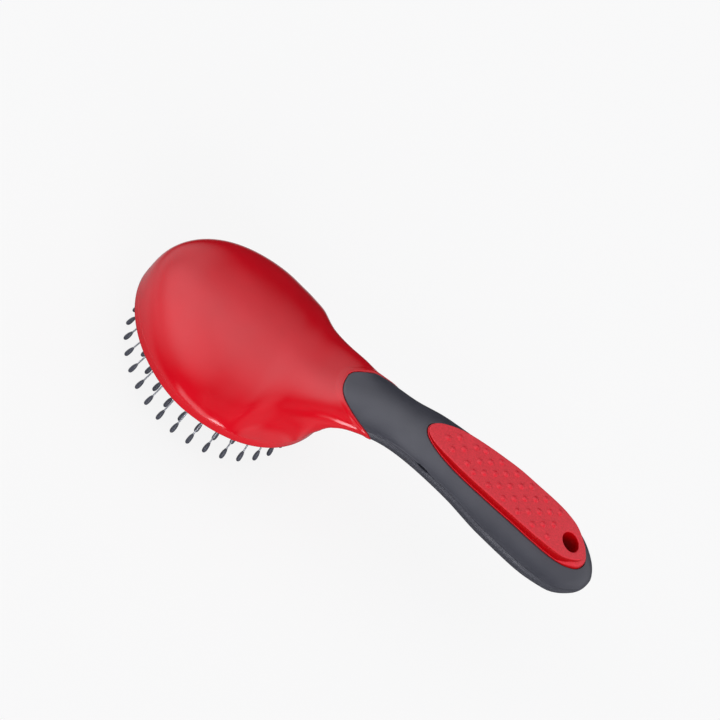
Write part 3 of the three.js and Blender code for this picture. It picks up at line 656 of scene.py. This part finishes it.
def seam_angle(x, rise):
    """The angle over the ridge at which the skin is rise above it, a quarter turn past the end."""
    _, waist, top, power = sizes_at(x)[:4]
    share = rise / (top - waist)
    return math.pi / 2 if share >= 1 else math.asin(share ** (power / 2))


def even_steps(points, count):
    """Points at equal steps along an open line, both ends kept."""
    run = [0.0]
    for p, q in zip(points, points[1:]):
        run.append(run[-1] + (q - p).length)
    out, i = [], 1
    for k in range(count):
        goal = run[-1] * k / (count - 1)
        while i < len(run) - 1 and run[i] < goal:
            i += 1
        t = (goal - run[i - 1]) / max(1e-9, run[i] - run[i - 1])
        out.append(points[i - 1].lerp(points[i], t))
    return out


def skin_angle(x, y):
    """The angle of the upper skin's point at x and y."""
    width, _, _, power = sizes_at(x)[:4]
    c = min(1.0, abs(y) / width) ** (power / 2)
    return math.acos(math.copysign(c, y))


# outer loop: half of the raked front edge, then the seam to the tail, as (x, angle) pairs
UPPER_RISE = SEAM_RISE + SEAM_GAP / 2
HALF_STEPS, OUTLINE_STEPS, FRONT_STEPS, SEAM_STEPS = 110, 600, 60, 400
tail_x = TAIL_END
while sizes_at(tail_x)[2] - sizes_at(tail_x)[1] < UPPER_RISE:
    tail_x -= 0.002


def resampled(pairs, count):
    """(x, angle) pairs at equal steps of their way over the skin."""
    lifted = [Vector((*upper_point(x, a), a)) for x, a in pairs]
    run = [0.0]
    for p, q in zip(lifted, lifted[1:]):
        run.append(run[-1] + (q.xyz - p.xyz).length)
    out, i = [], 1
    for k in range(count):
        goal = run[-1] * k / (count - 1)
        while i < len(run) - 1 and run[i] < goal:
            i += 1
        t = (goal - run[i - 1]) / max(1e-9, run[i] - run[i - 1])
        out.append(tuple(a + t * (b - a) for a, b in zip(pairs[i - 1], pairs[i])))
    return out


def insert_outline(grow, count):
    """Half the insert's outline from tip to end on +Y, grown outwards, at equal steps."""
    fine = []
    for k in range(OUTLINE_STEPS + 1):
        t = (1 - math.cos(math.pi * k / OUTLINE_STEPS)) / 2
        fine.append(Vector((INSERT_TIP + t * INSERT_LENGTH, insert_half(INSERT_TIP + t * INSERT_LENGTH), 0)))
    grown = []
    for i, p in enumerate(fine):
        d = fine[min(i + 1, OUTLINE_STEPS)] - fine[max(i - 1, 0)]
        between = 0 < i < OUTLINE_STEPS
        n = Vector((-d.y, d.x, 0)).normalized() if between else Vector((-1 if i == 0 else 1, 0, 0))
        q = p + n * grow
        q.y = max(0.0, q.y)
        grown.append(q)
    return even_steps(grown, count)


def half_edge(far):
    """Half of the upper grip's outer loop: the raked front edge, then the seam to the tail."""
    def front_x(angle):
        return edge_on(lambda x: upper_point(x, angle if far else math.pi - angle)) + EDGE_GAP

    corner = 60.0
    for _ in range(40):
        corner = 0.5 * corner + 0.5 * front_x(seam_angle(corner, UPPER_RISE))
    ridge, low = math.pi / 2, seam_angle(corner, UPPER_RISE)
    pairs = [(front_x(a), a)
             for a in (ridge + (low - ridge) * k / FRONT_STEPS for k in range(FRONT_STEPS + 1))]
    pairs += [(x, seam_angle(x, UPPER_RISE + notch(x)))
              for x in (corner + (tail_x - corner) * (1 - (1 - k / SEAM_STEPS) ** 2.2)
                        for k in range(1, SEAM_STEPS + 1))]
    return resampled(pairs, HALF_STEPS)[:-1] + [(tail_x, ridge)]


def round_trip(half):
    """A half loop on +Y and its mirror on -Y, as one loop of (x, angle) pairs."""
    return half + [(x, math.pi - a) for x, a in half[-2:0:-1]]


def recess_loop(grow):
    return round_trip([(p.x, skin_angle(p.x, p.y)) for p in insert_outline(grow, HALF_STEPS)])


outer_loop = half_edge(True) + [(x, math.pi - a) for x, a in half_edge(False)[-2:0:-1]]
inner_loop = recess_loop(RECESS_GAP + 0.5)


def folded(ring):
    """A loop drawn onto its middle line, which closes it without a point."""
    return [Vector((p.x, 0.0, p.z)) for p in ring]


upper_rings = [[sunk(upper_point(x, a), RECESS_DEPTH) for x, a in recess_loop(g)] for g in (-6.0, -2.5, RECESS_GAP)]
upper_rings += [[sunk(upper_point(x, a), depth) for x, a in recess_loop(RECESS_GAP + grow)]
                for grow, depth in ((0.0, 0.45), (0.05, 0.2), (0.2, 0.04))]
for t in (0, 0.02, 0.06, 0.11, 0.17, 0.24, 0.31, 0.38, 0.45, 0.52, 0.59, 0.66, 0.73, 0.79, 0.85, 0.9, 0.94, 0.965,
          0.98, 0.992):
    upper_rings.append([sunk(upper_point(x0 + (x1 - x0) * t, a0 + (a1 - a0) * t), -BEAD_RISE * ease(0.93, 0.985, t))
                        for (x0, a0), (x1, a1) in zip(inner_loop, outer_loop)])
for depth in (0.12, 0.5, 2.0):
    upper_rings.append([sunk(upper_point(x, a), depth) for x, a in outer_loop])
inner_line = [sunk(upper_point(x, math.pi / 2), RECESS_DEPTH) for x, _ in recess_loop(-6.0)]
grip_top = wrapped_skin("grip_upper_half", [folded(inner_line)] + upper_rings + [pole(upper_rings[-1])])
bpy.ops.object.shade_smooth_by_angle(angle=SMOOTH_BELOW)

# the lower half: each ring runs from seam to seam under the belly and back under the upper half
lower_lines = [lambda x, k=k: upper_point(x, math.pi - seam_angle(x, SEAM_RISE - SEAM_GAP / 2 - notch(x)) * (1 - k / 4))
               for k in range(4)]
BELLY_STEPS = 20
lower_lines += [lambda x, t=j / BELLY_STEPS: lower_point(x, -1, t) for j in range(BELLY_STEPS + 1)]
lower_lines += [lambda x, t=j / BELLY_STEPS: lower_point(x, 1, t) for j in range(BELLY_STEPS - 1, -1, -1)]
lower_lines += [lambda x, k=k: upper_point(x, seam_angle(x, SEAM_RISE - SEAM_GAP / 2 - notch(x)) * (1 - k / 4))
                for k in range(3, -1, -1)]
LOWER_START, LOWER_SQUARE = 60.0, 98.0
lower_ends = [edge_on(line) + EDGE_GAP for line in lower_lines]
lower_stations = (spaced(60.8, 84, 2.2) + spaced(84.4, 93, 0.85) + spaced(95, 160, 2.6)
                  + [TAIL_END - TAIL_ROUND * t for t in (1.06, 0.93, 0.81, 0.7, 0.6, 0.5, 0.41, 0.33, 0.26, 0.2, 0.145,
                                                         0.1, 0.066, 0.04, 0.022, 0.011, 0.0072)])


def lower_ring(x, depth):
    outer = []
    for line, end in zip(lower_lines, lower_ends):
        there = x if x > LOWER_SQUARE else end + (x - LOWER_START) * (LOWER_SQUARE - end) / (LOWER_SQUARE - LOWER_START)
        outer.append(sunk(line(there), depth))
    lip = [sunk(outer[0], 0.35), sunk(outer[-1], 0.35)]
    deep = [sunk(outer[0], NOTCH_DEPTH), sunk(outer[-1], NOTCH_DEPTH)]
    return outer + [lip[1], deep[1], deep[1].lerp(deep[0], 0.25), deep[1].lerp(deep[0], 0.5),
                    deep[1].lerp(deep[0], 0.75), deep[0], lip[0]]


lower_rings = [lower_ring(LOWER_START, depth) for depth in (2.0, 0.5, 0.14)]
lower_rings += [lower_ring(LOWER_START + 0.3, 0.0)] + [lower_ring(x, 0.0) for x in lower_stations]
grip_under = wrapped_skin("grip_lower_half", [pole(lower_rings[0])] + lower_rings + [pole(lower_rings[-1])])
bpy.ops.object.shade_smooth_by_angle(angle=SMOOTH_BELOW)

soft_tpe, tree, skin_shader, spot = new_material("soft_grey_tpe")
skin_shader.inputs["IOR"].default_value = 1.6
# skin grease and dust: slight changes of shade over 14 mm
shade = blend(tree, patches(tree, spot, 14, 0.0, 1.0), linear("#393A43"), linear("#40414A"))
# the satin mould face: grain of 0.7 mm, 0.012 mm deep, which keeps the gloss soft
grain = add_node(tree, "Bump", Height=patches(tree, spot, 0.7, 0.0, 1.0), Strength=1.0, Distance=0.000012)
feed(tree, skin_shader, Base_Color=shade, Roughness=patches(tree, spot, 6, 0.34, 0.42), Normal=grain.outputs[0])

grained_tpe, tree, skin_shader, spot = new_material("grained_grey_tpe")
skin_shader.inputs["IOR"].default_value = 1.6
# below the seam the mould is etched: grain of 0.9 mm, 0.03 mm deep, with a paler shade on its tops
pits = patches(tree, spot, 0.9, 0.0, 1.0, 3.0)
grain = add_node(tree, "Bump", Height=pits, Strength=1.0, Distance=0.00003)
feed(tree, skin_shader, Base_Color=blend(tree, pits, linear("#33343C"), linear("#42434C")),
     Roughness=patches(tree, spot, 6, 0.42, 0.52), Normal=grain.outputs[0])
for piece, node, material in ((grip_top, "grip_upper", soft_tpe), (grip_under, "grip_lower", grained_tpe)):
    piece.data.materials.append(material)
    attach(piece, "brush")
    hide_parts(node)

# ---- thumb insert ------------------------------------------------------------------------------
# The insert is a softer red rubber pad set in the grip's recess, with pimples for the thumb. Its collar
# goes through the grip and lines the hanging hole.
INSERT_RISE, INSERT_TIP_RISE, INSERT_END_RISE, INSERT_FALL = 1.5, 0.7, 2.5, 0.1
FLANGE_LEAST, FLANGE_MOST, FLANGE_LIFT, FLANGE_END_LIFT = 0.25, 2.1, 0.15, 1.5
HOLE_X, HOLE_RADIUS, COLLAR_RADIUS, COLLAR_PROUD = 158.5, 4.35, 5.85, 0.2
PIMPLE_RADIUS, PIMPLE_HEIGHT, PIMPLE_START, PIMPLE_STOP, PIMPLE_EDGE = 1.3, 0.73, 9.0, 10.3, 3.9
# inwards the outline is drawn towards its middle line, never quite onto it
INSERT_HALF, INSET_HALF, INSET_MOST = 12.6, 12.5, 11.9
BELOW_ALL, ABOVE_ALL = 5, 60


def insert_top(x):
    front = ease(INSERT_TIP, INSERT_TIP + 0.2 * INSERT_LENGTH, x)
    rear = ease(INSERT_TIP + 0.55 * INSERT_LENGTH, INSERT_TIP + 0.9 * INSERT_LENGTH, x)
    return (crown(x) + INSERT_TIP_RISE + (INSERT_RISE - INSERT_TIP_RISE) * front
            + (INSERT_END_RISE - INSERT_RISE) * rear)


def insert_loop(inset, height_at, flange=1.0):
    """A loop of the insert, drawn in from its outline, its height worked out from top, foot and flange."""
    middle = (INSERT_TIP + INSERT_END) / 2
    half = insert_outline(0, HALF_STEPS)
    loop = []
    for p in half + [Vector((q.x, -q.y, 0)) for q in half[-2:0:-1]]:
        tail = ease(INSERT_END - 13, INSERT_END - 1, p.x)
        total = min(inset + flange * (FLANGE_LEAST + (FLANGE_MOST - FLANGE_LEAST) * tail), INSET_MOST)
        x = middle + (p.x - middle) * (1 - total / (INSERT_LENGTH / 2))
        y = p.y * (1 - total / INSET_HALF)
        foot = upper_point(x, skin_angle(x, y)).z
        lift = FLANGE_LIFT + (FLANGE_END_LIFT - FLANGE_LIFT) * tail
        loop.append(Vector((x, y, height_at(top_at(x, y), foot, min(lift, 0.6 * (top_at(x, y) - foot))))))
    return loop


def top_at(x, y):
    return insert_top(x) - INSERT_FALL * (y / INSERT_HALF) ** 2


def above_top(rise):
    """A height that follows the pad's top."""
    return lambda x, y: top_at(x, y) + rise


def level(height):
    """The same height everywhere."""
    return lambda x, y: height


def round_skin(name, profile, sides=64):
    """A closed body round the hanging hole, from [radius, height] pairs."""
    rings = []
    for radius, height in profile:
        ring = []
        for k in range(sides):
            x = HOLE_X + radius * math.cos(2 * math.pi * k / sides)
            y = radius * math.sin(2 * math.pi * k / sides)
            ring.append(Vector((x, y, height(x, y))))
        rings.append(ring)
    return wrapped_skin(name, [pole(rings[0])] + rings + [pole(rings[-1])])


def carve(piece, tool, how):
    """Join or cut a piece with a tool body, which is then dropped."""
    bpy.ops.object.select_all(action="DESELECT")
    piece.select_set(True)
    bpy.context.view_layer.objects.active = piece
    cut = piece.modifiers.new(how.lower(), "BOOLEAN")
    cut.operation, cut.object, cut.solver = how, tool, "EXACT"
    bpy.ops.object.modifier_apply(modifier=cut.name)
    bpy.data.objects.remove(tool)


# top, its rounded rim, the upright wall, a crease, and the flange that curves down into the groove
insert_rings = [insert_loop(inset, lambda top, foot, lift: top) for inset in (9.6, 8.4, 7, 5, 3.2, 1.9, 1.1, 0.6)]
for inset, share in ((0.36, 0.1), (0.16, 0.32), (0.04, 0.65), (0.0, 1.0)):
    insert_rings.append(insert_loop(inset, lambda top, foot, lift: top - share * min(0.36, 0.6 * (top - foot - lift))))
insert_rings += [insert_loop(0.03, lambda top, foot, lift: foot + lift + 0.02),
                 insert_loop(0.1, lambda top, foot, lift: foot + lift - 0.1)]
for turn in (0.15, 0.4, 0.65, 0.88, 1.0):
    swing = turn * math.pi / 2
    insert_rings.append(insert_loop(0.0, lambda top, foot, lift: foot + lift * math.cos(swing), 1 - math.sin(swing)))
insert_rings += [insert_loop(0.0, lambda top, foot, lift: foot - 0.7, 0.0),
                 insert_loop(4.0, lambda top, foot, lift: foot - 0.9, 0.0),
                 insert_loop(9.6, lambda top, foot, lift: foot - 0.9, 0.0)]
spine = [Vector((p.x, 0.0, top_at(p.x, 0))) for p in insert_rings[0]]
pad = wrapped_skin("thumb_insert_pad", [spine] + insert_rings + [folded(insert_rings[-1])])
collar = round_skin("collar_body", ((COLLAR_RADIUS, above_top(-1.4)), (COLLAR_RADIUS, above_top(-12.0))))
low_edge = belly(HOLE_X) - COLLAR_PROUD
for vertex in collar.data.vertices:
    if vertex.co.z < place(0, 0, low_edge + 8).z:
        vertex.co.z = place(0, 0, low_edge).z
carve(pad, collar, "UNION")
hole_profile = [(HOLE_RADIUS, level(BELOW_ALL))]
hole_profile += [(HOLE_RADIUS + wider, above_top(rise)) for wider, rise in (
    (0.0, -1.0), (0.06, -0.62), (0.18, -0.3), (0.36, -0.1), (0.6, 0.02), (0.6, 5.0))]
carve(pad, round_skin("hole_body", hole_profile), "DIFFERENCE")
room_radius = COLLAR_RADIUS + 0.05
for half in (grip_top, grip_under):
    carve(half, round_skin("collar_room", ((room_radius, level(BELOW_ALL)), (room_radius, level(ABOVE_ALL)))),
          "DIFFERENCE")
    bpy.ops.object.shade_smooth_by_angle(angle=SMOOTH_BELOW)
bpy.ops.object.select_all(action="DESELECT")
pad.select_set(True)
bpy.context.view_layer.objects.active = pad
bpy.ops.object.shade_smooth_by_angle(angle=SMOOTH_BELOW)

# pimples: from the tip 1, 2, 1 and 2, then rows of three with pairs between them
pimple_profile = [(0, -0.5), (PIMPLE_RADIUS + 0.35, -0.5), (PIMPLE_RADIUS + 0.3, -0.01), (PIMPLE_RADIUS + 0.1, 0.06),
                  (PIMPLE_RADIUS - 0.06, 0.2), (PIMPLE_RADIUS - 0.22, 0.42), (PIMPLE_RADIUS - 0.5, 0.6),
                  (PIMPLE_RADIUS - 0.85, 0.71), (0.2, PIMPLE_HEIGHT), (0, PIMPLE_HEIGHT)]
pitch = (HOLE_X - PIMPLE_STOP - INSERT_TIP - PIMPLE_START) / 7
pimples = []
for k in [i / 2 for i in range(15)]:
    x = INSERT_TIP + PIMPLE_START + pitch * k
    wide = insert_half(x) - PIMPLE_EDGE
    pair = wide * 0.82 if k < 2 else wide / 2
    for y in ([-pair, pair] if k % 1 else [0.0] if k < 2 else [-wide, 0.0, wide]):
        lean = Vector(((top_at(x - 1, y) - top_at(x + 1, y)) / 2, (top_at(x, y - 1) - top_at(x, y + 1)) / 2, 1))
        pimple = turned_part("pimple", [(-z, r) for r, z in pimple_profile], 24)
        pimple.data.transform(Matrix.Translation(place(x, y, top_at(x, y)))
                              @ lean.to_track_quat("Z", "Y").to_matrix().to_4x4())
        pimples.append(pimple)
bpy.ops.object.select_all(action="DESELECT")
for pimple in pimples:
    pimple.select_set(True)
bpy.context.view_layer.objects.active = pimples[0]
bpy.ops.object.join()
pimples = pimples[0]
pimples.name = "thumb_insert_pimples"
bpy.ops.object.shade_smooth_by_angle(angle=math.radians(60))

insert_tpe, tree, skin_shader, spot = new_material("soft_red_tpe")
skin_shader.inputs["IOR"].default_value = 1.6
# the top is etched: grain of 0.8 mm, 0.03 mm deep, and its red is painted paler as a painted sheen, palest on the
# grain's tops; the wall has no grain and is painted a deeper red as painted shade, with less gloss, told apart by how
# steep the face is
slope = add_node(tree, "SeparateXYZ", Vector=add_node(tree, "NewGeometry").outputs["Normal"]).outputs["Z"]
# level is 0 on the steep wall, which gets a darker red as painted shade, and 1 on the top, which gets the painted sheen
level = add_node(tree, "MapRange", {"interpolation_type": "SMOOTHSTEP"}, Value=slope, From_Min=0.35, From_Max=0.75)
pits = patches(tree, spot, 0.8, 0.0, 1.0, 3.0)
sheen_painted_top_red = blend(tree, pits, linear("#DC1626"), linear("#F4283A"))
grain = add_node(tree, "Bump", Height=pits, Strength=level.outputs[0], Distance=0.00003)
matt = add_node(tree, "MapRange", Value=level.outputs[0], To_Min=0.36, To_Max=0.46)
sheen = add_node(tree, "MapRange", Value=level.outputs[0], To_Min=0.12, To_Max=0.5)
# base colour: painted shade on the wall, painted sheen on the top
feed(tree, skin_shader, Base_Color=blend(tree, level.outputs[0], linear("#B80008"), sheen_painted_top_red),
     Roughness=matt.outputs[0], Normal=grain.outputs[0], Specular_IOR_Level=sheen.outputs[0])
polished_tpe, tree, skin_shader, spot = new_material("polished_red_tpe")
# the pimples' cavities are drilled and polished: only slight changes of gloss over 1.5 mm and of shade
# over 3 mm
feed(tree, skin_shader, Roughness=patches(tree, spot, 1.5, 0.26, 0.36),
     Base_Color=blend(tree, patches(tree, spot, 3, 0.0, 1.0), linear("#E0142A"), linear("#EE2236")))
pad.data.materials.append(insert_tpe)
pimples.data.materials.append(polished_tpe)
for piece in (pad, pimples):
    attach(piece, "brush")
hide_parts("thumb_insert")
